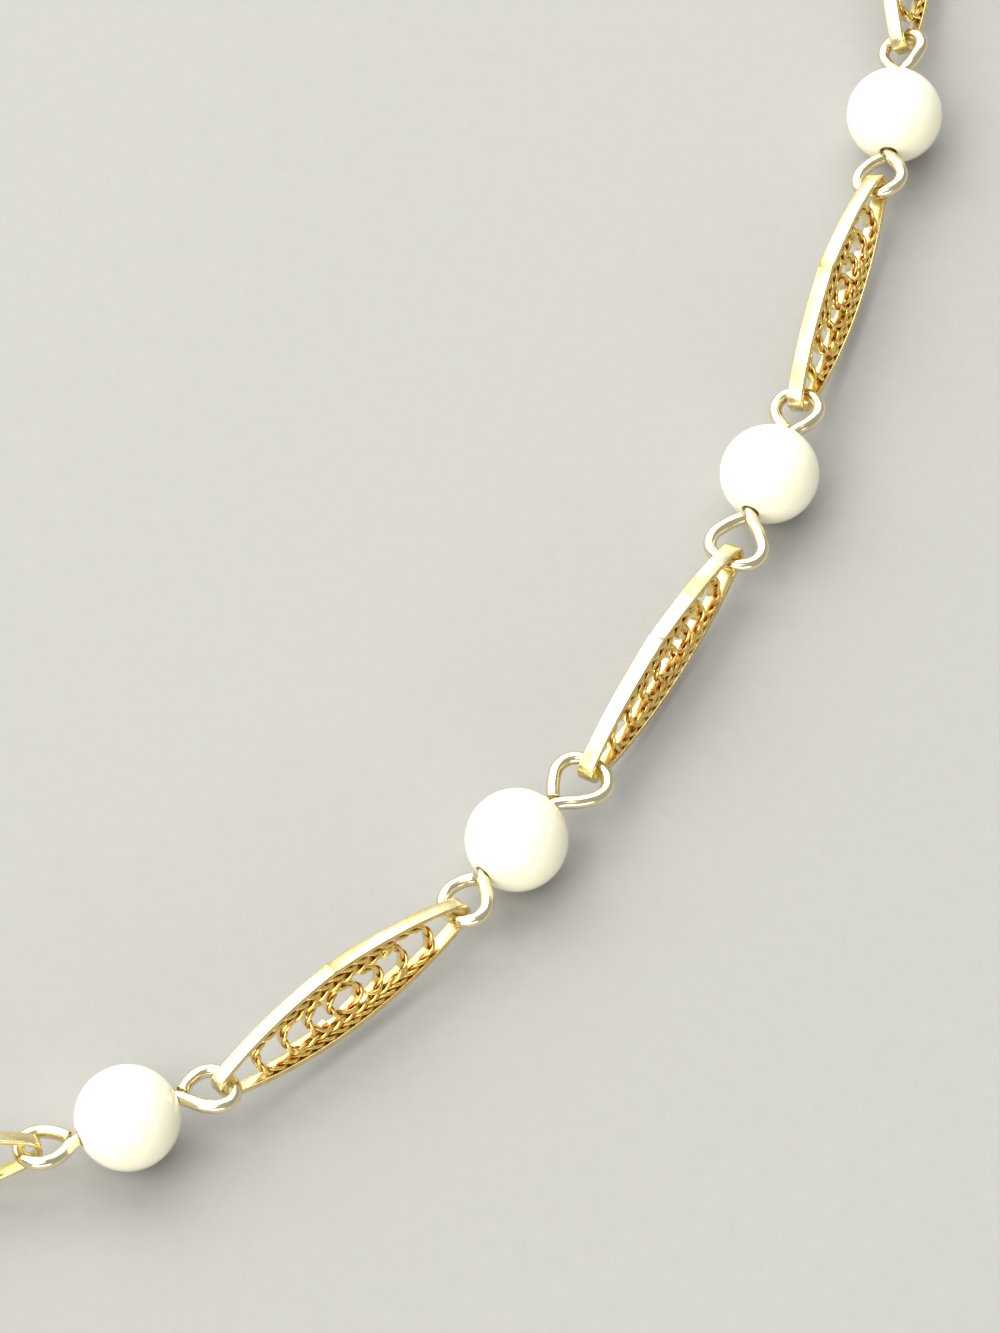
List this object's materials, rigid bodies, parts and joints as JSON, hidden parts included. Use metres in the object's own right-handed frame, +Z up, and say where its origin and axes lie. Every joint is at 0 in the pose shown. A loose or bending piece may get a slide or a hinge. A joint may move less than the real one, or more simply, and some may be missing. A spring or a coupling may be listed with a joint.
{
  "type": "faux pearl choker",
  "caption": "Choker of round faux pearls on eye pins alternating with marquise filigree links, laid flat in a closed loop.",
  "frame": {"origin": "middle of the loop in plan, at the bottom of the pearls", "axes": "+Z up from the surface the choker lies on, +Y towards the clasp at the back of the neck, +X along the width of the loop"},
  "size_m": [0.1278, 0.1272, 0.005],
  "materials": {
    "faux_pearl": "pearlescent coat on a bead, glossy",
    "gold_wire": "pale gold plating on drawn wire, polished",
    "gold_filigree": "pale gold plating, polished band with warmer scrolls inside"
  },
  "bodies": {
    "root": {"pearl_01": "faux_pearl", "eye_pin_01": "gold_wire", "pearl_02": "faux_pearl", "eye_pin_02": "gold_wire", "pearl_03": "faux_pearl", "eye_pin_03": "gold_wire", "pearl_04": "faux_pearl", "eye_pin_04": "gold_wire", "pearl_05": "faux_pearl", "eye_pin_05": "gold_wire", "pearl_06": "faux_pearl", "eye_pin_06": "gold_wire", "pearl_07": "faux_pearl", "eye_pin_07": "gold_wire", "pearl_08": "faux_pearl", "eye_pin_08": "gold_wire", "pearl_09": "faux_pearl", "eye_pin_09": "gold_wire", "pearl_10": "faux_pearl", "eye_pin_10": "gold_wire", "pearl_11": "faux_pearl", "eye_pin_11": "gold_wire", "pearl_12": "faux_pearl", "eye_pin_12": "gold_wire", "pearl_13": "faux_pearl", "eye_pin_13": "gold_wire", "pearl_14": "faux_pearl", "eye_pin_14": "gold_wire", "pearl_15": "faux_pearl", "eye_pin_15": "gold_wire", "pearl_16": "faux_pearl", "eye_pin_16": "gold_wire", "pearl_17": "faux_pearl", "eye_pin_17": "gold_wire", "filigree_link_01": "gold_filigree", "filigree_link_02": "gold_filigree", "filigree_link_03": "gold_filigree", "filigree_link_04": "gold_filigree", "filigree_link_05": "gold_filigree", "filigree_link_06": "gold_filigree", "filigree_link_07": "gold_filigree", "filigree_link_08": "gold_filigree", "filigree_link_09": "gold_filigree", "filigree_link_10": "gold_filigree", "filigree_link_11": "gold_filigree", "filigree_link_12": "gold_filigree", "filigree_link_13": "gold_filigree", "filigree_link_14": "gold_filigree", "filigree_link_15": "gold_filigree", "filigree_link_16": "gold_filigree", "clasp": "gold_wire"}
  },
  "joints": []
}
